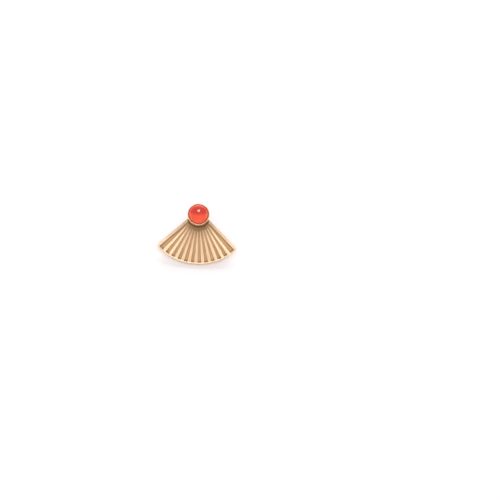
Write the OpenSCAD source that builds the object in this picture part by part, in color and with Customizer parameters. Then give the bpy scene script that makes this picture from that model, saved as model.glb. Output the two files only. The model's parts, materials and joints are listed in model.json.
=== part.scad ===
// Ear jacket: a round stone stud whose post carries a ribbed fan, with a rolled nut behind.
// It lies face up, as it comes to rest by itself: on the middle of the fan's curved edge
// and on the tip of the post. X runs across the fan and Z points up.
// The pieces are drawn round the post, with Z along it towards the stone, z = 0 on the
// back of the fan and +Y towards the fan's point, and are then laid down.

/* [Fan] */
// Length from the point where the straight edges would meet to the curved edge
fan_r = 17.4; // [16:0.1:20]
// Angle between the straight edges
fan_angle = 93; // [92:0.5:98]
// Thickness at the rim
fan_t = 1.2; // [1:0.1:1.8]
// Depth of the panel below the rim
panel_drop = 0.45; // [0.35:0.05:0.6]
// Width of the rim along the straight edges
side_rim_w = 0.9; // [0.6:0.05:1.1]
// Width of the rim along the curved edge
arc_rim_w = 0.4; // [0.3:0.02:0.8]
// Radius that rounds the three corners
corner_r = 0.8; // [0.6:0.1:1.1]
// Radius that rounds the corners of the panel
panel_corner_r = 0.3; // [0.2:0.05:0.4]

/* [Hole] */
// Diameter of the hole that the post goes through
hole_d = 1.7; // [1.5:0.1:1.8]
// Distance from the point where the straight edges would meet to the middle of the hole
hole_from_apex = 2.35; // [2.3:0.05:2.6]
// Radius of the plain area round the hole, where the ribs start
plain_r = 4.8; // [4.6:0.1:6]

/* [Ribs] */
// Number of ribs
rib_count = 11; // [7:2:11]
// Angle from one rib to the next
rib_pitch = 7.7; // [7.3:0.05:8]
// Distance from the point where the straight edges would meet to the point where the ribs would meet
rib_from_apex = 1; // [0.7:0.1:1.5]
// Width of a rib where it starts
rib_start_w = 0.48; // [0.4:0.02:0.54]
// Width of a rib at the curved rim
rib_end_w = 1.45; // [1:0.05:1.5]
// Height of a rib where it starts
rib_start_h = 0.2; // [0.1:0.02:0.24]
// Height of a rib at the curved rim
rib_end_h = 0.42; // [0.26:0.02:0.44]
// Slope of the sides of a rib
rib_slope = 75; // [55:1:80]

/* [Stone] */
// Diameter of the stone
stone_d = 6.5; // [5.6:0.1:8]
// Height of the stone's straight side
girdle_h = 0.9; // [0.7:0.1:0.9]
// Height of the dome above the straight side
dome_h = 2.3; // [1.8:0.1:2.4]

/* [Setting] */
// Thickness of the bezel round the stone
bezel_t = 0.22; // [0.2:0.01:0.4]
// Height of the cup from its flat back to the top of the bezel
cup_h = 2.1; // [2.1:0.1:2.4]
// Thickness of the cup's floor
cup_floor_t = 0.4; // [0.3:0.05:0.4]
// Height of the lip that leans over the stone
lip_h = 0.6; // [0.4:0.1:0.6]
// How far the lip leans in
lip_in = 0.12; // [0.1:0.01:0.18]

/* [Post] */
// Diameter of the post
post_d = 0.9; // [0.7:0.05:1]
// Length of the post behind the cup
post_len = 10; // [9:0.5:12]
// Width of the notch round the post
notch_w = 0.7; // [0.6:0.05:0.8]
// Depth of the notch
notch_depth = 0.12; // [0.08:0.01:0.15]

/* [Ear nut] */
// Thickness of the nut's sheet
nut_sheet_t = 0.3; // [0.2:0.05:0.35]
// Outer radius of each roll
nut_roll_r = 0.95; // [0.8:0.05:1.1]
// Length of the rolls
nut_depth = 3.6; // [3:0.1:4.4]
// Radius of the round blank that the nut is cut from
nut_blank_r = 2.6; // [2.5:0.05:3]

/* [Gaps] */
// Gap between the post and the hole on the side where the jacket hangs
hang_gap = 0.05; // [0.03:0.01:0.08]
// Gap between the cup and the fan
cup_gap = 0.08; // [0.05:0.01:0.15]
// Gap between the fan and the nut
nut_gap = 0.15; // [0.1:0.05:0.3]
// Gap round the stone
stone_gap = 0.03; // [0.02:0.01:0.04]
// Gap between the post and the nut
nut_grip_gap = 0.03; // [0.02:0.01:0.05]

/* [Hidden] */
$fn = 96;

gold = [0.86, 0.69, 0.45];
carnelian = [0.85, 0.24, 0.14];

half_angle = fan_angle / 2;
post_r = post_d / 2;
hole_r = hole_d / 2;
stone_r = stone_d / 2;
panel_z = fan_t - panel_drop;
through = 0.5;
arc_steps = 60;
corner_steps = 6;

hole_y = -(hole_r - post_r - hang_gap);
apex_y = hole_y + hole_from_apex;

panel_r = fan_r - arc_rim_w;
panel_point_r = 0.5;
rib_root = 0.2;
rib_into_rim = 0.17;
cutter = 1;

cup_z = fan_t + cup_gap;
cup_r = stone_r + stone_gap + bezel_t;
stone_z = cup_z + cup_floor_t + stone_gap;
dome_steps = 24;

tip_z = cup_z - post_len;
nut_roll_x = post_r + nut_grip_gap + nut_roll_r;
nut_z = -nut_gap;
nut_back_z = nut_z - 2 * nut_roll_r;
nut_open_angle = 62;
notch_z = nut_back_z - notch_w / 2;

// At rest the back edge in the middle of the arc and the round tip of the post are both at the floor
arc_reach = fan_r - apex_y;
tip_reach = -(tip_z + post_r);
rest_tilt = atan2(tip_reach, arc_reach) + asin(post_r / norm([arc_reach, tip_reach]));
rest_lift = arc_reach * sin(rest_tilt);
front_y = -arc_reach * cos(rest_tilt) - fan_t * sin(rest_tilt);
back_y = tip_reach * sin(rest_tilt) + post_r;
rest_mid_y = (front_y + back_y) / 2;

module as_it_lies() {
    translate([0, -rest_mid_y, rest_lift])
        rotate([rest_tilt, 0, 0])
            children();
}

// Points of an arc about a middle, each angle turned from -Y towards +X
function arc_points(middle, radius, from, to, steps) =
    [for (i = [0 : steps]) let (t = from + (to - from) * i / steps) middle + radius * [sin(t), -cos(t)]];

// Outline of a sector that opens towards -Y from the origin. Its straight edges are moved in by the inset,
// its two tips are rounded by one radius and its point by another
function sector_points(radius, inset, tip_r, point_r) =
    let (
        tip_turn = half_angle - asin((inset + tip_r) / (radius - tip_r)),
        tip = (radius - tip_r) * [sin(tip_turn), -cos(tip_turn)],
        point = [0, -(inset + point_r) / sin(half_angle)],
        edge_turn = half_angle + 90,
        step = 2 * tip_turn / arc_steps
    )
    concat(
        arc_points(tip, tip_r, edge_turn, tip_turn, corner_steps),
        arc_points([0, 0], radius, tip_turn - step, step - tip_turn, arc_steps - 2),
        arc_points([-tip[0], tip[1]], tip_r, -tip_turn, -edge_turn, corner_steps),
        arc_points(point, point_r, -edge_turn, edge_turn - 360, 2 * corner_steps)
    );

// A rib that runs out from the ribs' meeting point along -Y, seen from above, with a round start
function rib_points(start_r, end_r) =
    concat(
        [[rib_end_w / 2, -end_r]],
        arc_points([0, -start_r], rib_start_w / 2, 90, 270, 2 * corner_steps),
        [[-rib_end_w / 2, -end_r]]
    );

// How far a line from the ribs' meeting point runs before it leaves a circle whose middle lies
// some way along -Y from that point
function way_out(circle_r, middle, turn) =
    middle * cos(turn) + sqrt(circle_r * circle_r - pow(middle * sin(turn), 2));

module rib(turn) {
    start_r = way_out(plain_r, hole_from_apex - rib_from_apex, turn);
    end_r = way_out(panel_r + rib_into_rim, -rib_from_apex, turn);
    length = end_r - start_r;
    rise = atan((rib_end_h - rib_start_h) / length);
    spread = atan((rib_end_w - rib_start_w) / 2 / length);
    rotate([0, 0, turn])
        difference() {
            translate([0, 0, panel_z - rib_root])
                linear_extrude(rib_root + rib_end_h)
                    polygon(rib_points(start_r, end_r));
            // The top falls towards the hole
            translate([0, -start_r, panel_z + rib_start_h])
                rotate([-rise, 0, 0])
                    translate([-cutter, -length - cutter, 0])
                        cube([2 * cutter, length + 2 * cutter, cutter]);
            for (side = [0, 1])
                mirror([side, 0, 0])
                    translate([rib_start_w / 2, -start_r, panel_z])
                        rotate([0, 0, spread])
                            rotate([0, rib_slope - 90, 0])
                                translate([0, -length - cutter, 0])
                                    cube([cutter, length + cutter, cutter]);
        }
}

module fan_jacket() {
    color(gold)
        as_it_lies()
            difference() {
                translate([0, apex_y, 0]) {
                    difference() {
                        linear_extrude(fan_t)
                            polygon(sector_points(fan_r, 0, corner_r, corner_r));
                        translate([0, 0, panel_z])
                            linear_extrude(panel_drop + through)
                                polygon(sector_points(panel_r, side_rim_w, panel_corner_r, panel_point_r));
                    }
                    translate([0, -rib_from_apex, 0])
                        for (i = [0 : rib_count - 1])
                            rib((i - (rib_count - 1) / 2) * rib_pitch);
                }
                translate([0, hole_y, -through])
                    cylinder(h = fan_t + 2 * through, r = hole_r);
            }
}

// Half of the cup's section: floor, wall and the lip leaning in over the stone
module cup_section() {
    bed_r = stone_r + stone_gap;
    polygon([[0, 0], [cup_r, 0], [cup_r, cup_h - lip_h], [cup_r - lip_in, cup_h],
        [bed_r - lip_in, cup_h], [bed_r, cup_h - lip_h], [bed_r, cup_floor_t], [0, cup_floor_t]]);
}

module notch_cutter() {
    ring_r = (pow(notch_w / 2, 2) + notch_depth * notch_depth) / (2 * notch_depth);
    translate([0, 0, notch_z])
        rotate_extrude()
            translate([post_r - notch_depth + ring_r, 0])
                circle(r = ring_r);
}

module post() {
    difference() {
        union() {
            translate([0, 0, tip_z + post_r])
                cylinder(h = post_len - post_r + cup_floor_t / 2, r = post_r);
            translate([0, 0, tip_z + post_r])
                sphere(r = post_r);
        }
        notch_cutter();
    }
}

module stud_setting() {
    color(gold)
        as_it_lies() {
            translate([0, 0, cup_z])
                rotate_extrude()
                    cup_section();
            post();
        }
}

module cabochon() {
    color(carnelian)
        as_it_lies()
            translate([0, 0, stone_z])
                rotate_extrude()
                    polygon(concat([[0, 0], [stone_r, 0]],
                        [for (i = [0 : dome_steps - 1])
                            [stone_r * cos(90 * i / dome_steps),
                                girdle_h + dome_h * sin(90 * i / dome_steps)]],
                        [[0, girdle_h + dome_h]]));
}

// One side of the nut seen along its rolls: half of the plate and a roll that is open beside the post
module nut_half_section() {
    cut_reach = 2 * nut_roll_r;
    translate([0, -nut_sheet_t])
        square([nut_roll_x, nut_sheet_t]);
    translate([nut_roll_x, -nut_roll_r])
        difference() {
            circle(r = nut_roll_r);
            circle(r = nut_roll_r - nut_sheet_t);
            polygon([[0, 0], [0, cut_reach], cut_reach * [-sin(nut_open_angle), cos(nut_open_angle)]]);
        }
}

module ear_nut() {
    color(gold)
        as_it_lies()
            translate([0, 0, nut_z])
                difference() {
                    intersection() {
                        rotate([90, 0, 0])
                            translate([0, 0, -nut_depth / 2])
                                linear_extrude(nut_depth)
                                    for (side = [0, 1])
                                        mirror([side, 0])
                                            nut_half_section();
                        translate([0, 0, -2 * nut_roll_r - through])
                            cylinder(h = 2 * (nut_roll_r + through), r = nut_blank_r);
                    }
                    translate([0, 0, -nut_sheet_t - through])
                        cylinder(h = nut_sheet_t + 2 * through, r = post_r + nut_grip_gap);
                }
}

fan_jacket();
stud_setting();
cabochon();
ear_nut();
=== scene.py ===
import json
import math
import bmesh
import bpy
from mathutils import Matrix, Vector


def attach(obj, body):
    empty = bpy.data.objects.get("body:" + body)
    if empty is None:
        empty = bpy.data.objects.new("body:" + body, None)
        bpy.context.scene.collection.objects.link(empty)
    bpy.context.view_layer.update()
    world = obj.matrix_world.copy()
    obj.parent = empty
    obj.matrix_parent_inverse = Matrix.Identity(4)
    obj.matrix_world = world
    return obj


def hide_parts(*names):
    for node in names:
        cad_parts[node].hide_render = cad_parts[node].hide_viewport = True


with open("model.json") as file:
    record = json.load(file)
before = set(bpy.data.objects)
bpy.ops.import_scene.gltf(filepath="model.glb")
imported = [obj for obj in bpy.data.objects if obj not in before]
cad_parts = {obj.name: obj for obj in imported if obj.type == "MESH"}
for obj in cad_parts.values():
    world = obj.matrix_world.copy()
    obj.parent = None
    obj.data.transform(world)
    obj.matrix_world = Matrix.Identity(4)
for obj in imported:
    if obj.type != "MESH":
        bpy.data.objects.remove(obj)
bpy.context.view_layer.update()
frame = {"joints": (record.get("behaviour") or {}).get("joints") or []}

# Driving dimensions in millimetres, as in the part's source

fan_r = 17.4
half_angle = math.radians(93 / 2)
fan_t = 1.2
panel_drop = 0.45
side_rim_w = 0.9
arc_rim_w = 0.4
corner_r = 0.8
panel_corner_r = 0.3
panel_point_r = 0.5

hole_r = 0.85
hole_from_apex = 2.35
plain_r = 4.8

rib_count = 11
rib_pitch = math.radians(7.7)
rib_from_apex = 1.0
rib_start_w = 0.48
rib_end_w = 1.45
rib_start_h = 0.2
rib_end_h = 0.42
rib_slope = math.radians(75)
rib_root = 0.2
rib_into_rim = 0.17

stone_r = 3.25
girdle_h = 0.9
dome_h = 2.3

bezel_t = 0.22
cup_h = 2.1
cup_floor_t = 0.4
lip_h = 0.6
lip_in = 0.12

post_r = 0.45
post_len = 10.0
notch_w = 0.7
notch_depth = 0.12

nut_sheet_t = 0.3
nut_roll_r = 0.95
nut_depth = 3.6
nut_blank_r = 2.6
nut_open_angle = math.radians(62)

hang_gap = 0.05
cup_gap = 0.08
nut_gap = 0.15
stone_gap = 0.03
nut_grip_gap = 0.03

# Roundings that only the finished pieces have

rim_outer_round = 0.2
rim_inner_round = 0.12
panel_fillet = 0.06
rib_round = 0.17
hole_round = 0.1
solder_r = 0.12
cup_back_round = 0.12
bezel_bend_round = 0.2
bezel_top_round = 0.13
bezel_inner_round = 0.05
stone_foot_round = 0.12
nut_edge_round = 0.06
nut_corner_angle = math.radians(60)

# Turns in degrees up to which the shading runs smoothly on, over a flat piece and over a round one

sheet_angle = 40
round_angle = 50

# How finely round shapes are divided

arc_steps = 96
corner_steps = 8
point_steps = 16
rib_nose_steps = 10
hole_steps = 64
round_steps = 128
dome_steps = 40
tip_steps = 10
notch_steps = 8
roll_steps = 40
sheet_steps = 8
nut_hole_steps = 48
nut_depth_cuts = 19
fine_bevel = 4
plain_bevel = 3
small_bevel = 2

# What follows from them

panel_z = fan_t - panel_drop
panel_r = fan_r - arc_rim_w
hole_y = -(hole_r - post_r - hang_gap)
apex_y = hole_y + hole_from_apex
cup_z = fan_t + cup_gap
bed_r = stone_r + stone_gap
cup_r = bed_r + bezel_t
stone_z = cup_z + cup_floor_t + stone_gap
tip_z = cup_z - post_len
nut_z = -nut_gap
nut_roll_x = post_r + nut_grip_gap + nut_roll_r
notch_z = nut_z - 2 * nut_roll_r - notch_w / 2

# The pieces are drawn in millimetres round the post, with Z along it towards the stone and +Y
# towards the fan's point. They are then laid down in metres, where the swivel's place and axis
# say that the post is.

MM = 0.001
doubled = 1e-4
same_place = 1e-3
cut_past = 1
swivel = frame["joints"][0]
post_foot = Vector(swivel["pos_m"])
post_axis = Vector(swivel["axis"]).normalized()
rest_tilt = math.atan2(-post_axis.y, post_axis.z)
lay_down = (
    Matrix.Translation(post_foot)
    @ Matrix.Rotation(rest_tilt, 4, "X")
    @ Matrix.Scale(MM, 4)
)
apex = lay_down @ Vector((0, apex_y, 0))
stone_middle = lay_down @ Vector((0, 0, stone_z))


# Modelling helpers


def new_piece(name, bm, body, node, smooth_angle=sheet_angle):
    """Lays a finished bmesh down as a mesh object that stands for a CAD node."""
    bmesh.ops.transform(bm, matrix=lay_down, verts=bm.verts)
    mesh = bpy.data.meshes.new(name)
    bm.to_mesh(mesh)
    bm.free()
    mesh.shade_smooth()
    mesh.set_sharp_from_angle(angle=math.radians(smooth_angle))
    piece = bpy.data.objects.new(name, mesh)
    bpy.context.scene.collection.objects.link(piece)
    flat_faces = piece.modifiers.new("flat faces stay flat", "WEIGHTED_NORMAL")
    flat_faces.keep_sharp = True
    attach(piece, body)
    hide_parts(node)
    return piece


def tidy(bm):
    """Merges doubled vertices and turns the faces outwards."""
    bmesh.ops.remove_doubles(bm, verts=bm.verts, dist=doubled)
    bmesh.ops.recalc_face_normals(bm, faces=bm.faces)


def round_edges(bm, edges, radius, segments):
    """Rounds these edges off, or fillets them where they are inside corners."""
    bmesh.ops.bevel(bm, geom=edges, affect="EDGES", offset=radius, segments=segments,
                    profile=0.5, material=-1, clamp_overlap=True)


def round_ring(bm, radius, z, rounding, segments):
    """Rounds the edge that runs round the post at this radius and height."""
    def on_ring(vert):
        aside = abs(math.hypot(vert.co.x, vert.co.y) - radius)
        return aside < same_place and abs(vert.co.z - z) < same_place

    ring = [edge for edge in bm.edges if all(map(on_ring, edge.verts))]
    round_edges(bm, ring, rounding, segments)


def draw_arc(bm, middle, radius, start, end, steps):
    """Spins a vertex about a middle and returns the arc's vertices. Angles turn from -Y to +X."""
    middle = Vector((*middle, 0))
    count = len(bm.verts)
    first = bm.verts.new(middle + radius * Vector((math.sin(start), -math.cos(start), 0)))
    bmesh.ops.spin(bm, geom=[first], cent=middle, axis=(0, 0, 1), angle=end - start, steps=steps)
    return list(bm.verts)[count:]


def outline_edges(bm, outline):
    """The edges between the vertices of a closed outline, which are given in order."""
    return [bm.edges.get(pair) for pair in zip(outline, outline[1:] + outline[:1])]


def extrude_outline(bm, outline):
    """Extrudes a closed outline and returns the new vertices in the same order."""
    grown = bmesh.ops.extrude_edge_only(bm, edges=outline_edges(bm, outline))["geom"]
    fresh = {item for item in grown if isinstance(item, bmesh.types.BMVert)}
    neighbours = [[edge.other_vert(vert) for edge in vert.link_edges] for vert in outline]
    return [next(vert for vert in near if vert in fresh) for near in neighbours]


def draw_sector(bm, radius, inset, tip_r, point_r, z):
    """Draws the outline of a sector that opens towards -Y from the fan's point.
    Returns its vertices in order."""
    tip_turn = half_angle - math.asin((inset + tip_r) / (radius - tip_r))
    tip = (radius - tip_r) * Vector((math.sin(tip_turn), -math.cos(tip_turn)))
    point = Vector((0, -(inset + point_r) / math.sin(half_angle)))
    edge_turn = half_angle + math.pi / 2
    arc_turn = tip_turn * (1 - 2 / arc_steps)
    arcs = [
        draw_arc(bm, tip, tip_r, edge_turn, tip_turn, corner_steps),
        draw_arc(bm, (0, 0), radius, arc_turn, -arc_turn, arc_steps - 2),
        draw_arc(bm, (-tip.x, tip.y), tip_r, -tip_turn, -edge_turn, corner_steps),
        draw_arc(bm, point, point_r, -edge_turn, edge_turn - 2 * math.pi, point_steps),
    ]
    for here, after in zip(arcs, arcs[1:] + arcs[:1]):
        bm.edges.new((here[-1], after[0]))
    outline = [vert for arc in arcs for vert in arc]
    bmesh.ops.translate(bm, verts=outline, vec=(0, apex_y, z))
    return outline


def spin_solid(points, steps):
    """A closed solid of revolution about the post, from a profile of (radius, height) points.
    The profile starts and ends on the post's axis."""
    bm = bmesh.new()
    verts = [bm.verts.new((radius, 0, z)) for radius, z in points]
    edges = [bm.edges.new(pair) for pair in zip(verts, verts[1:])]
    bmesh.ops.spin(bm, geom=verts + edges, cent=(0, 0, 0), axis=(0, 0, 1),
                   angle=2 * math.pi, steps=steps, use_merge=True)
    tidy(bm)
    return bm


def arc_points(middle_r, middle_z, radius, start, end, steps):
    """Profile points along part of a circle. Angles are in degrees and turn from outwards to up."""
    turns = [math.radians(start + (end - start) * i / steps) for i in range(steps + 1)]
    return [(middle_r + radius * math.cos(t), middle_z + radius * math.sin(t)) for t in turns]


def combine(base, other, operation):
    """Joins another closed solid to the base one, or cuts it out. Returns the result as a bmesh."""
    objects = []
    for bm in (base, other):
        mesh = bpy.data.meshes.new("solid")
        bm.to_mesh(mesh)
        bm.free()
        objects.append(bpy.data.objects.new("solid", mesh))
        bpy.context.scene.collection.objects.link(objects[-1])
    boolean = objects[0].modifiers.new("combine", "BOOLEAN")
    boolean.object = objects[1]
    boolean.operation = operation
    boolean.solver = "EXACT"
    made = objects[0].evaluated_get(bpy.context.evaluated_depsgraph_get())
    result = bmesh.new()
    result.from_mesh(made.to_mesh())
    for old in objects:
        bpy.data.meshes.remove(old.data)
    return result


# The ribbed fan


def fan_plate():
    """The plate with its raised rim, before the ribs and the hole."""
    bm = bmesh.new()
    outer = (fan_r, 0, corner_r, corner_r)
    inner = (panel_r, side_rim_w, panel_corner_r, panel_point_r)
    outlines = [draw_sector(bm, *outer, 0), draw_sector(bm, *outer, fan_t),
                draw_sector(bm, *inner, fan_t), draw_sector(bm, *inner, panel_z)]
    for here, there in zip(outlines, outlines[1:]):
        bmesh.ops.weld_verts(bm, targetmap=dict(zip(extrude_outline(bm, here), there)))
    foot, top, inner_top, floor = (outline_edges(bm, outline) for outline in outlines)
    bmesh.ops.contextual_create(bm, geom=foot)
    bmesh.ops.contextual_create(bm, geom=floor)
    bmesh.ops.recalc_face_normals(bm, faces=bm.faces)
    round_edges(bm, top, rim_outer_round, fine_bevel)
    round_edges(bm, foot + inner_top, rim_inner_round, plain_bevel)
    round_edges(bm, floor, panel_fillet, small_bevel)
    return bm


def way_out(circle_r, middle, turn):
    """How far a line from the ribs' meeting point runs before it leaves a circle whose middle
    lies some way along -Y from that point."""
    return middle * math.cos(turn) + math.sqrt(circle_r**2 - (middle * math.sin(turn))**2)


def draw_rib(bm, turn):
    """Draws a bar that rises towards the curved rim, with sloped sides and a round start.
    Returns the edges round its top."""
    start = way_out(plain_r, hole_from_apex - rib_from_apex, turn)
    end = way_out(panel_r + rib_into_rim, -rib_from_apex, turn)
    nose = draw_arc(bm, (0, -start), rib_start_w / 2, math.pi / 2, 3 * math.pi / 2, rib_nose_steps)
    heel = [bm.verts.new((side * rib_end_w / 2, -end, 0)) for side in (-1, 1)]
    for pair in ((nose[-1], heel[0]), heel, (heel[1], nose[0])):
        bm.edges.new(pair)
    root = nose + heel
    base = extrude_outline(bm, root)
    top = extrude_outline(bm, base)
    bmesh.ops.translate(bm, verts=root, vec=(0, 0, panel_z - rib_root))
    bmesh.ops.translate(bm, verts=base, vec=(0, 0, panel_z))
    for vert in top:
        along = min(max((-vert.co.y - start) / (end - start), 0), 1)
        height = rib_start_h + (rib_end_h - rib_start_h) * along
        outwards = Vector((vert.co.x, max(vert.co.y + start, 0), 0)).normalized()
        vert.co += Vector((0, 0, panel_z + height)) - outwards * height / math.tan(rib_slope)
    for outline in (root, top):
        bmesh.ops.contextual_create(bm, geom=outline_edges(bm, outline))
    made = root + base + top
    bmesh.ops.rotate(bm, verts=made, cent=(0, 0, 0), matrix=Matrix.Rotation(turn, 3, "Z"))
    bmesh.ops.translate(bm, verts=made, vec=(0, apex_y - rib_from_apex, 0))
    return outline_edges(bm, top)


def ribs():
    """All the bars of the fan, turned about the point where they meet."""
    bm = bmesh.new()
    top_edges = []
    for i in range(rib_count):
        top_edges += draw_rib(bm, (i - (rib_count - 1) / 2) * rib_pitch)
    bmesh.ops.recalc_face_normals(bm, faces=bm.faces)
    round_edges(bm, top_edges, rib_round, plain_bevel)
    return bm


def hole_cutter():
    """A plug that cuts the hole, and rounds its mouths front and back."""
    flare = hole_r + hole_round
    below = -cut_past
    above = panel_z + cut_past
    profile = [(0, below), (flare, below)]
    profile += arc_points(flare, hole_round, hole_round, 270, 180, fine_bevel)
    profile += arc_points(flare, panel_z - hole_round, hole_round, 180, 90, fine_bevel)
    profile += [(flare, above), (0, above)]
    bm = spin_solid(profile, hole_steps)
    bmesh.ops.translate(bm, verts=bm.verts, vec=(0, hole_y, 0))
    return bm


def make_fan():
    """The plate with its ribs, pierced for the post."""
    bm = combine(fan_plate(), ribs(), "UNION")
    bm = combine(bm, hole_cutter(), "DIFFERENCE")
    tidy(bm)
    return new_piece("ribbed_fan", bm, "jacket", "fan_jacket")


# The stud: bezel cup soldered on its post, the stone and the nut


def notch_points():
    """The shallow round groove near the middle of the post, from its lower end to its upper end."""
    ring_r = ((notch_w / 2)**2 + notch_depth**2) / (2 * notch_depth)
    middle_r = post_r - notch_depth + ring_r
    reach = math.degrees(math.asin(notch_w / 2 / ring_r))
    return arc_points(middle_r, notch_z, ring_r, 180 + reach, 180 - reach, notch_steps)


def make_setting():
    """The cup with its edge closed in over the stone, and the post with its round tip."""
    cup_top = cup_z + cup_h
    kink_z = cup_top - lip_h
    floor_z = cup_z + cup_floor_t
    profile = arc_points(0, tip_z + post_r, post_r, 270, 360, tip_steps)
    profile += notch_points()
    profile += arc_points(post_r + solder_r, cup_z - solder_r, solder_r, 180, 90, fine_bevel)
    profile += [(cup_r, cup_z), (cup_r, kink_z), (cup_r - lip_in, cup_top)]
    profile += [(bed_r - lip_in, cup_top), (bed_r, kink_z), (bed_r, floor_z), (0, floor_z)]
    bm = spin_solid(profile, round_steps)
    round_ring(bm, cup_r, cup_z, cup_back_round, fine_bevel)
    round_ring(bm, cup_r, kink_z, bezel_bend_round, fine_bevel)
    round_ring(bm, cup_r - lip_in, cup_top, bezel_top_round, fine_bevel)
    round_ring(bm, bed_r - lip_in, cup_top, bezel_inner_round, plain_bevel)
    return new_piece("bezel_and_post", bm, "stud", "stud_setting", round_angle)


def make_stone():
    """A flat-backed cabochon with an oval dome."""
    girdle_z = stone_z + girdle_h
    dome = [(stone_r * math.cos(t), girdle_z + dome_h * math.sin(t))
            for t in (math.pi / 2 * i / dome_steps for i in range(dome_steps + 1))]
    bm = spin_solid([(0, stone_z), (stone_r, stone_z)] + dome, round_steps)
    round_ring(bm, stone_r, stone_z, stone_foot_round, plain_bevel)
    return new_piece("cabochon_stone", bm, "stud", "cabochon", round_angle)


def make_nut():
    """A sheet with two rolled ends, cut from a round blank and pierced for the post. One half is
    drawn from -1 to 1 along Y, mirrored, and then brought to the blank's depth."""
    bm = bmesh.new()
    roll_z = nut_z - nut_roll_r
    line = [bm.verts.new((nut_roll_x * i / sheet_steps, 0, nut_z)) for i in range(sheet_steps + 1)]
    for pair in zip(line, line[1:]):
        bm.edges.new(pair)
    bmesh.ops.spin(bm, geom=[line[-1]], cent=(nut_roll_x, 0, roll_z), axis=(0, 1, 0),
                   angle=2 * math.pi - nut_open_angle, steps=roll_steps)
    bmesh.ops.translate(bm, verts=bm.verts, vec=(0, -1, 0))
    grown = bmesh.ops.extrude_edge_only(bm, edges=bm.edges[:])["geom"]
    far_side = [item for item in grown if isinstance(item, bmesh.types.BMVert)]
    bmesh.ops.translate(bm, verts=far_side, vec=(0, 2, 0))
    across = [edge for edge in bm.edges if abs(edge.verts[0].co.y - edge.verts[1].co.y) > 1]
    bmesh.ops.subdivide_edges(bm, edges=across, cuts=nut_depth_cuts, use_grid_fill=True)
    half = bm.verts[:] + bm.edges[:] + bm.faces[:]
    bmesh.ops.mirror(bm, geom=half, axis="X", merge_dist=doubled)
    tidy(bm)
    for vert in bm.verts:
        vert.co.y *= min(nut_depth / 2, math.sqrt(max(nut_blank_r**2 - vert.co.x**2, 0)))
    bmesh.ops.solidify(bm, geom=bm.faces[:], thickness=nut_sheet_t)
    corners = [edge for edge in bm.edges
               if edge.is_manifold and edge.calc_face_angle() > nut_corner_angle]
    round_edges(bm, corners, nut_edge_round, small_bevel)
    pierced_r = post_r + nut_grip_gap
    profile = [(0, -cut_past), (pierced_r, -cut_past), (pierced_r, cut_past), (0, cut_past)]
    bm = combine(bm, spin_solid(profile, nut_hole_steps), "DIFFERENCE")
    tidy(bm)
    return new_piece("butterfly_nut", bm, "stud", "ear_nut")


# Finishes. Every pattern is laid out in millimetres on the piece's own Object coordinates.

gold_edge = (0.91, 0.70, 0.48, 1)
gold_plate = (0.80, 0.56, 0.35, 1)
gold_bright = (1.0, 0.77, 0.47, 1)
# Brown for patina and painted shade: the grooves' patina and darker reflection, the dimmer middle
# rib tops, and the side rims towards the fan's point.
patina_and_shade_brown = (0.42, 0.26, 0.15, 1)
# Dark brown of the painted shade on the fan, with some patina at the groove ends.
gold_dark = (0.20, 0.11, 0.06, 1)
# Dark red of the painted shade inside the bezel, reddened as a painted reflection of the stone.
bed_shade_red_reflection = (0.50, 0.07, 0.03, 1)
# Orange of the painted reflection of the stone on the bezel's top.
stone_reflection_orange = (0.95, 0.36, 0.16, 1)
# Orange of the painted glow where light gathers in the stone.
painted_glow_orange = (1.0, 0.092, 0.012, 1)
# Pink of the painted reflection ring inside the stone's edge.
stone_reflection_pale = (1.0, 0.24, 0.15, 1)
stone_red = (0.72, 0.032, 0.012, 1)
# Deep red of the stone's clouds and of its painted darker patch.
stone_deep_cloud_and_shade = (0.52, 0.018, 0.008, 1)
# Brown-red of the painted shade at the stone's edge under the bezel.
stone_edge_shade = (0.42, 0.018, 0.007, 1)
stone_absorb = (1.0, 0.25, 0.12, 1)
stone_density = 250.0

# A change on a piece starts at the first value and ends at the second. Where two more follow, they
# are how strong it is before and after. Rib and middle values are turns in radians.

noise_span = (0.3, 0.7)
wear_span = (0.35, 0.7)
panel_edge = (-0.03, 0.03)
front_side = (0.4, 0.5)
groove_wall = (panel_z + 0.14, panel_z + 0.02)
# Painted shade at the groove ends by the curved rim, partly patina.
groove_end_dark = (0.85, 0.35, 0.0, 0.52)
# Painted shade in the grooves by the side rims.
groove_side_dark = (0.9, 0.1, 0.0, 0.15)
# Painted shadow of the bezel on the plate round the post, close in and further out.
under_stud_dark = (4.0, 3.4, 0.0, 0.56)
round_stud_dark = (8.0, 4.5, 0.0, 0.27)
side_rim_edge = (0.0, -0.05)
side_rim_dull = (19.0, 6.0, 0.0, 0.6)
rib_foot = (0.027, 0.036)
rib_back = (0.026, 0.012)
# Painted shade: the flat tops of the middle ribs dimmer than their bright edges.
middle_rib_tops_dimmed = (0.55, 0.2, 0.0, 0.35)
panel_warmth = 0.5
brush_lines_to_radian = 130.0
brush_lines_to_mm = 0.35

lip_soft_edge = 0.03
lip_shade_h = 0.12
bed_start = (0.0, 0.3)
# Painted reflection of the stone on the bezel's top.
lip_stone_reflection = (cup_r - 0.02, bed_r - 0.1, 0.0, 0.65)
lip_stone_reflection_height = (1.0, 1.5)

# Painted shade at the stone's edge.
stone_dark_edge = (stone_r - 0.45, stone_r - 0.25)
# Painted reflection ring inside the stone's edge.
reflection_ring_r = stone_r - 0.6
reflection_ring_strength = (0.25, 0.05, 0.0, 0.6)
reflection_ring_side = (-2.0, 0.2)
# Painted glow where light gathers, made uneven by the clouds.
painted_glow_side = (-0.8, 0.5)
painted_glow_sway = 0.4
# Painted darker patch in the stone's middle, on the side of the fan's point.
shade_patch_narrower = 0.8
shade_patch_y = 1.0
shade_patch_span = (1.7, 0.7, 0.0, 0.6)
stone_deep_clouds = (0.45, 0.75, 0.0, 0.3)


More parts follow.
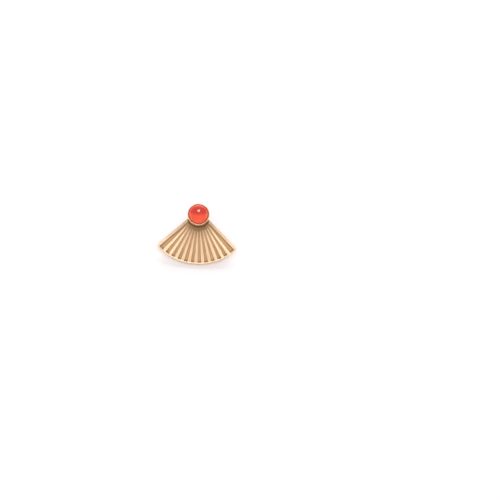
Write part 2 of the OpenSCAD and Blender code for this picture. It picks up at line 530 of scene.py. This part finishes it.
def add_node(tree, kind, inputs=None, **settings):
    """Adds a shader node with its settings, and values or other nodes' outputs for its inputs."""
    made = tree.nodes.new("ShaderNode" + kind)
    for name, value in settings.items():
        setattr(made, name, value)
    for name, value in (inputs or {}).items():
        if isinstance(value, bpy.types.NodeSocket):
            tree.links.new(value, made.inputs[name])
        else:
            made.inputs[name].default_value = value
    return made


def number(tree, operation, a, b=0.0):
    """A sum, product or other result of one or two numbers."""
    return add_node(tree, "Math", {0: a, 1: b}, operation=operation).outputs[0]


def both(tree, a, b):
    """As strong as two masks are together."""
    return number(tree, "MULTIPLY", a, b)


def either(tree, a, b):
    """As strong as the stronger of two masks."""
    return number(tree, "MAXIMUM", a, b)


def fade(tree, value, start, end, low=0.0, high=1.0):
    """Goes smoothly from low to high as the value goes from start to end."""
    inputs = {"Value": value, "From Min": start, "From Max": end, "To Min": low, "To Max": high}
    return add_node(tree, "MapRange", inputs, interpolation_type="SMOOTHSTEP").outputs["Result"]


def mix_colour(tree, factor, a, b):
    """Goes from colour a to colour b."""
    return add_node(tree, "Mix", {0: factor, 6: a, 7: b}, data_type="RGBA").outputs[2]


def mix_number(tree, factor, a, b):
    """Goes from number a to number b."""
    return add_node(tree, "Mix", {0: factor, 2: a, 3: b}, data_type="FLOAT").outputs[0]


def noise(tree, vector, scale, detail=2.0, roughness=0.5):
    """Soft patches. The scale is about how many of them there are to a millimetre."""
    inputs = {"Vector": vector, "Scale": scale, "Detail": detail, "Roughness": roughness}
    return add_node(tree, "TexNoise", inputs).outputs["Fac"]


def stretch(tree, vector, scale):
    """Packs a pattern closer along each axis by its own factor."""
    return add_node(tree, "VectorMath", {0: vector, 1: scale}, operation="MULTIPLY").outputs[0]


def bump(tree, height, depth_mm, before=None):
    """A relief whose full height is given in millimetres."""
    inputs = {"Height": height, "Distance": depth_mm * MM, "Strength": 1.0}
    if before is not None:
        inputs["Normal"] = before
    return add_node(tree, "Bump", inputs).outputs["Normal"]


def from_axis(tree, x, y):
    """How far a place is from the middle that x and y are measured from."""
    squares = [number(tree, "MULTIPLY", side, side) for side in (x, y)]
    return number(tree, "SQRT", number(tree, "ADD", *squares))


def new_finish(name, middle):
    """A material with its shader and the place on the piece, in millimetres from a middle and along
    the axes that the pieces are drawn on."""
    material = bpy.data.materials.new(name)
    material.use_nodes = True
    tree = material.node_tree
    shader = tree.nodes["Principled BSDF"]
    coords = add_node(tree, "TexCoord").outputs["Object"]
    inputs = {
        "Vector": coords,
        "Location": middle,
        "Rotation": (rest_tilt, 0, 0),
        "Scale": (MM, MM, MM),
    }
    place = add_node(tree, "Mapping", inputs, vector_type="TEXTURE").outputs["Vector"]
    return material, tree, shader, place


def link(tree, shader, **sockets):
    """Links patterns to the shader's colour, roughness and normal."""
    names = {"colour": "Base Color", "roughness": "Roughness", "normal": "Normal"}
    for name, socket in sockets.items():
        tree.links.new(socket, shader.inputs[names[name]])


def fan_finish():
    """Satin gold plate: bright on the rim and ribs, browner between the ribs from patina and
    painted shade, with painted shade on the middle rib tops and a painted shadow round the bezel.
    """
    material, tree, shader, place = new_finish("satin_gold_fan", apex)
    shader.inputs["Metallic"].default_value = 1.0
    x, y, z = add_node(tree, "SeparateXYZ", {0: place}).outputs

    radius = from_axis(tree, x, y)
    from_post = from_axis(tree, x, number(tree, "ADD", y, apex_y))
    turn = number(tree, "ARCTAN2", x, number(tree, "MULTIPLY", y, -1.0))
    off_middle = number(tree, "ABSOLUTE", turn)
    edge_turn = number(tree, "SUBTRACT", half_angle, off_middle)
    from_edge = number(tree, "MULTIPLY", radius, number(tree, "SINE", edge_turn))
    to_side = number(tree, "SUBTRACT", from_edge, side_rim_w)
    to_arc = number(tree, "SUBTRACT", panel_r, radius)
    rib_turn = number(tree, "ARCTAN2", x, number(tree, "SUBTRACT", -rib_from_apex, y))
    from_rib = number(tree, "PINGPONG", rib_turn, rib_pitch / 2)

    front = fade(tree, z, *front_side)
    inside = number(tree, "MINIMUM", to_arc, to_side)
    in_panel = both(tree, fade(tree, inside, *panel_edge), front)
    # The grooves are browned by patina and by painted shade that stands for their darker
    # reflection.
    groove = both(tree, in_panel, fade(tree, z, *groove_wall))
    beside_rib = both(tree, in_panel, fade(tree, from_rib, *rib_foot))
    # end: painted shade at the groove ends by the curved rim, partly patina.
    end = both(tree, either(tree, groove, beside_rib), fade(tree, to_arc, *groove_end_dark))
    # side: painted shade in the grooves by the side rims.
    side = both(tree, groove, fade(tree, to_side, *groove_side_dark))
    # Painted shadow of the bezel on the plate round the post.
    stud_shadow = number(tree, "ADD", fade(tree, from_post, *under_stud_dark),
                     fade(tree, from_post, *round_stud_dark))
    # All the painted shade on the plate, with some patina at the groove ends.
    dark = either(tree, either(tree, end, side), both(tree, front, stud_shadow))
    side_rim = both(tree, fade(tree, to_side, *side_rim_edge), front)
    dull_rim = both(tree, side_rim, fade(tree, radius, *side_rim_dull))
    raised = number(tree, "SUBTRACT", in_panel, groove)
    rib_top = both(tree, fade(tree, from_rib, *rib_back), raised)
    # Painted shade dims the flat tops of the middle ribs.
    dimmed_rib_tops = both(tree, rib_top, fade(tree, off_middle, *middle_rib_tops_dimmed))

    across = number(tree, "MULTIPLY", turn, brush_lines_to_radian)
    along = number(tree, "MULTIPLY", radius, brush_lines_to_mm)
    brush_lines = add_node(tree, "CombineXYZ", {0: across, 1: along, 2: z}).outputs[0]
    brushed = noise(tree, brush_lines, scale=1.0, detail=3.0, roughness=0.6)
    patches = noise(tree, place, scale=0.45, detail=3.0, roughness=0.55)
    grain = noise(tree, place, scale=22.0, detail=2.0, roughness=0.6)
    uneven = both(tree, fade(tree, patches, *noise_span, low=0.85),
                  fade(tree, brushed, *noise_span, low=0.85))

    warm = number(tree, "MULTIPLY", in_panel, panel_warmth)
    tone = mix_colour(tree, warm, gold_edge, gold_plate)
    # Browner: the side rims towards the point, the grooves with patina and painted shade, and the
    # middle rib tops with painted shade.
    for browned in (dull_rim, both(tree, groove, uneven), dimmed_rib_tops):
        tone = mix_colour(tree, browned, tone, patina_and_shade_brown)
    link(tree, shader,
         colour=mix_colour(tree, dark, tone, gold_dark),
         roughness=mix_number(tree, groove,
                              fade(tree, patches, *noise_span, low=0.32, high=0.42),
                              fade(tree, brushed, *noise_span, low=0.40, high=0.52)),
         normal=bump(tree, grain, depth_mm=0.003, before=bump(tree, brushed, depth_mm=0.008)))
    return material


def setting_finish():
    """Polished gold plate with faint marks from burnishing the bezel down. The bezel's top has a
    painted orange reflection of the stone, and its inside is painted dark red as shade and as
    reflected stone."""
    material, tree, shader, place = new_finish("polished_gold", stone_middle)
    shader.inputs["Metallic"].default_value = 1.0
    x, y, z = add_node(tree, "SeparateXYZ", {0: place}).outputs
    radius = from_axis(tree, x, y)
    lip_z = cup_z + cup_h - stone_z
    opening_r = bed_r - lip_in
    inner_wall = fade(tree, radius, bed_r + lip_soft_edge, bed_r)
    under_lip = both(tree, inner_wall, fade(tree, z, lip_z, lip_z - lip_shade_h))
    opening = fade(tree, radius, opening_r + lip_soft_edge, opening_r)
    # Painted shade inside the bezel, in a painted red reflection of the stone.
    shaded_inside = both(tree, either(tree, under_lip, opening), fade(tree, z, *bed_start))
    # Painted orange reflection of the stone on the bezel's top.
    stone_reflected = both(tree, fade(tree, radius, *lip_stone_reflection), fade(tree, z, *lip_stone_reflection_height))
    wear = noise(tree, place, scale=0.9, detail=3.0, roughness=0.6)
    round_the_cup = stretch(tree, place, (1.0, 1.0, 9.0))
    scuffs = noise(tree, round_the_cup, scale=3.0, detail=3.0, roughness=0.6)
    worn = fade(tree, wear, *wear_span, high=0.45)
    tone = mix_colour(tree, worn, gold_bright, gold_plate)
    tone = mix_colour(tree, stone_reflected, tone, stone_reflection_orange)
    link(tree, shader,
         colour=mix_colour(tree, shaded_inside, tone, bed_shade_red_reflection),
         roughness=fade(tree, scuffs, *noise_span, low=0.30, high=0.42),
         normal=bump(tree, scuffs, depth_mm=0.006, before=bump(tree, wear, depth_mm=0.015)))
    return material


def nut_finish():
    """Rolled gold-plated sheet, satin from the tumbler, with fine lines along the rolls."""
    material, tree, shader, place = new_finish("rolled_gold_sheet", post_foot)
    shader.inputs["Metallic"].default_value = 1.0
    along_the_rolls = stretch(tree, place, (14.0, 0.8, 14.0))
    lines = noise(tree, along_the_rolls, scale=1.0, detail=3.0, roughness=0.6)
    patches = noise(tree, place, scale=0.8, detail=3.0, roughness=0.55)
    bright = fade(tree, patches, *noise_span, low=0.3, high=0.8)
    link(tree, shader,
         colour=mix_colour(tree, bright, gold_plate, gold_bright),
         roughness=fade(tree, lines, *noise_span, low=0.22, high=0.38),
         normal=bump(tree, lines, depth_mm=0.006))
    return material


def stone_finish():
    """Polished cloudy carnelian: painted shade makes it brown-red at its edge, a painted reflection
    makes a pale ring inside that on the side of the fan's point, where a painted darker patch lies
    too, and a painted glow, swayed by the clouds, makes it more orange towards the other side."""
    material, tree, shader, place = new_finish("carnelian", stone_middle)
    x, y = add_node(tree, "SeparateXYZ", {0: place}).outputs[:2]
    radius = from_axis(tree, x, y)
    from_reflection_ring = number(tree, "ABSOLUTE", number(tree, "SUBTRACT", radius, reflection_ring_r))
    # ring: the painted pale reflection inside the stone's edge, on the side of the fan's point.
    ring = both(tree, fade(tree, from_reflection_ring, *reflection_ring_strength), fade(tree, y, *reflection_ring_side))
    layered = stretch(tree, place, (1.0, 1.0, 1.6))
    clouds = noise(tree, layered, scale=0.45, detail=4.0, roughness=0.55)
    sway = fade(tree, clouds, *noise_span, low=-painted_glow_sway, high=painted_glow_sway)
    # Painted orange glow where light gathers, towards the curved rim, swayed by the clouds.
    away_from_glow = fade(tree, number(tree, "ADD", y, sway), *painted_glow_side)
    # Painted darker patch in the stone's middle.
    from_shade_patch = from_axis(tree, number(tree, "MULTIPLY", x, shade_patch_narrower),
                          number(tree, "SUBTRACT", y, shade_patch_y))
    tone = mix_colour(tree, away_from_glow, painted_glow_orange, stone_red)
    tone = mix_colour(tree, fade(tree, from_shade_patch, *shade_patch_span), tone, stone_deep_cloud_and_shade)
    tone = mix_colour(tree, fade(tree, clouds, *stone_deep_clouds), tone, stone_deep_cloud_and_shade)
    tone = mix_colour(tree, ring, tone, stone_reflection_pale)
    polish = noise(tree, place, scale=1.5)
    link(tree, shader,
         # Painted shade at the stone's edge under the bezel.
         colour=mix_colour(tree, fade(tree, radius, *stone_dark_edge), tone, stone_edge_shade),
         roughness=fade(tree, polish, *noise_span, low=0.02, high=0.05))
    shader.inputs["Subsurface Weight"].default_value = 0.3
    shader.inputs["Subsurface Radius"].default_value = (1.0, 0.25, 0.1)
    shader.inputs["Subsurface Scale"].default_value = MM
    shader.inputs["Transmission Weight"].default_value = 0.2
    shader.inputs["IOR"].default_value = 1.54
    shader.inputs["Coat Weight"].default_value = 0.4
    shader.inputs["Coat Roughness"].default_value = 0.03
    absorb = add_node(tree, "VolumeAbsorption", {"Color": stone_absorb, "Density": stone_density})
    tree.links.new(absorb.outputs[0], tree.nodes["Material Output"].inputs["Volume"])
    return material


for piece, finish in ((make_fan(), fan_finish()), (make_setting(), setting_finish()),
                      (make_stone(), stone_finish()), (make_nut(), nut_finish())):
    piece.data.materials.append(finish)


# Studio: a white card on the table between pale walls, with a small round softbox overhead, a low
# window behind and a soft fill in front. Lengths are in metres, and directions in degrees.

photo_w = 500
mm_per_px = 0.312
bezel_px = (198.5, 214.2)
camera_rise = 50.0
camera_roll = math.radians(3.0)
lens = 180.0

card_half = 0.5
# Painted light: the card is paler further off, to make up for the lamp light that falls off there.
card_fade = (0.08, 0.5)
card_near = (0.787, 0.773, 0.782, 1)
card_far_painted_light = (0.97, 0.96, 0.965, 1)

backdrop = (1, 1, 1, 1)
wall_front = (0.94, 0.88, 0.92, 1)
wall_behind = (1.05, 1.03, 1.02, 1)
wall_behind_at = (180, 25)
wall_behind_span = (0.0, 0.9)
ceiling = (0.68, 0.665, 0.65, 1)
ceiling_at = (0, 85)
ceiling_span = (0.6, 0.95)
grey_card = (0.40, 0.385, 0.38, 1)
grey_cards_at = ((125, 22), (-125, 22))
grey_card_span = (0.82, 0.96)

# A lamp stands at an azimuth, an elevation and a distance, and has a width and a height

softbox_at = (180, 87, 0.6)
softbox_size = (0.21, 0.21)
softbox_radiance = 9.9
window_at = (180, 36, 1.0)
window_size = (1.35, 0.56)
window_radiance = 3.4
fill_at = (0, 62, 1.0)
fill_size = (0.9, 0.9)
fill_radiance = 2.3
warm_light = (1.0, 0.94, 0.82)
white_light = (1.0, 0.99, 1.0)


def facing(azimuth, elevation):
    """The direction towards a point round the jewel; azimuth 0 is the camera's side."""
    turn = math.radians(azimuth)
    rise = math.radians(elevation)
    level = math.cos(rise)
    return Vector((math.sin(turn) * level, -math.cos(turn) * level, math.sin(rise)))


def looking_from(back, distance, roll=0.0):
    """Where a camera or a lamp stands that looks at the origin from a direction."""
    turned = back.to_track_quat("Z", "Y").to_matrix() @ Matrix.Rotation(roll, 3, "Z")
    return Matrix.Translation(back * distance) @ turned.to_4x4()


def add_lamp(name, azimuth, elevation, distance, size, radiance, colour):
    """A soft oval lamp that faces the jewel."""
    lamp = bpy.data.lights.new(name, "AREA")
    lamp.shape = "ELLIPSE"
    lamp.size, lamp.size_y = size
    area = math.pi / 4 * lamp.size * lamp.size_y
    lamp.energy = radiance * math.pi * area
    lamp.color = colour
    light = bpy.data.objects.new(name, lamp)
    light.matrix_world = looking_from(facing(azimuth, elevation), distance)
    bpy.context.scene.collection.objects.link(light)
    return light


def add_table():
    """A white card, a little greyer round the jewel than further off, where it is painted paler to
    make up for the lamp light that falls off.
    """
    bm = bmesh.new()
    bmesh.ops.create_grid(bm, x_segments=1, y_segments=1, size=card_half)
    mesh = bpy.data.meshes.new("white_card")
    bm.to_mesh(mesh)
    bm.free()
    table = bpy.data.objects.new("white_card", mesh)
    bpy.context.scene.collection.objects.link(table)
    material = bpy.data.materials.new("white_card")
    material.use_nodes = True
    tree = material.node_tree
    shader = tree.nodes["Principled BSDF"]
    place = add_node(tree, "TexCoord").outputs["Object"]
    x, y = add_node(tree, "SeparateXYZ", {0: place}).outputs[:2]
    # Painted light: paler further off, for the lamp light that falls off with distance.
    far_painted_light = fade(tree, from_axis(tree, x, y), *card_fade)
    link(tree, shader, colour=mix_colour(tree, far_painted_light, card_near, card_far_painted_light))
    shader.inputs["Roughness"].default_value = 0.8
    shader.inputs["Specular IOR Level"].default_value = 0.2
    mesh.materials.append(material)


def light_walls():
    """Pale walls all round, brighter behind and darker overhead, with a grey card on each side of
    the back for the gold to mirror. Where the camera sees them, they are plain white."""
    world = bpy.data.worlds.new("pale_walls")
    bpy.context.scene.world = world
    world.use_nodes = True
    tree = world.node_tree
    background = tree.nodes["Background"]
    way = add_node(tree, "TexCoord").outputs["Generated"]

    def towards(azimuth, elevation):
        inputs = {0: way, 1: facing(azimuth, elevation)}
        return add_node(tree, "VectorMath", inputs, operation="DOT_PRODUCT").outputs["Value"]

    behind = fade(tree, towards(*wall_behind_at), *wall_behind_span)
    overhead = fade(tree, towards(*ceiling_at), *ceiling_span)
    beside = either(tree, *(towards(*place) for place in grey_cards_at))
    walls = mix_colour(tree, behind, wall_front, wall_behind)
    walls = mix_colour(tree, overhead, walls, ceiling)
    walls = mix_colour(tree, fade(tree, beside, *grey_card_span), walls, grey_card)
    seen = add_node(tree, "LightPath").outputs["Is Camera Ray"]
    tree.links.new(mix_colour(tree, seen, walls, backdrop), background.inputs["Color"])


def add_camera():
    """A long lens at the photograph's angle, with the middle of the bezel's top at its pixel."""
    data = bpy.data.cameras.new("camera")
    data.lens = lens
    camera = bpy.data.objects.new("camera", data)
    bpy.context.scene.collection.objects.link(camera)
    bpy.context.scene.camera = camera
    pixel = mm_per_px * MM
    distance = pixel * photo_w / data.sensor_width * lens
    stand = looking_from(facing(0, camera_rise), distance, camera_roll)
    aim = lay_down @ Vector((0, 0, cup_z + cup_h))
    beside = bezel_px[0] - photo_w / 2
    above = photo_w / 2 - bezel_px[1]
    aside = Matrix.Translation((-beside * pixel, -above * pixel, 0))
    camera.matrix_world = Matrix.Translation(aim) @ stand @ aside


bpy.context.scene.view_settings.view_transform = "Standard"
add_table()
light_walls()
softbox = add_lamp("overhead_softbox", *softbox_at, softbox_size, softbox_radiance, warm_light)
softbox.visible_diffuse = False
window = add_lamp("low_window", *window_at, window_size, window_radiance, white_light)
window.visible_glossy = False
fill = add_lamp("tent_fill", *fill_at, fill_size, fill_radiance, white_light)
fill.visible_glossy = False
add_camera()
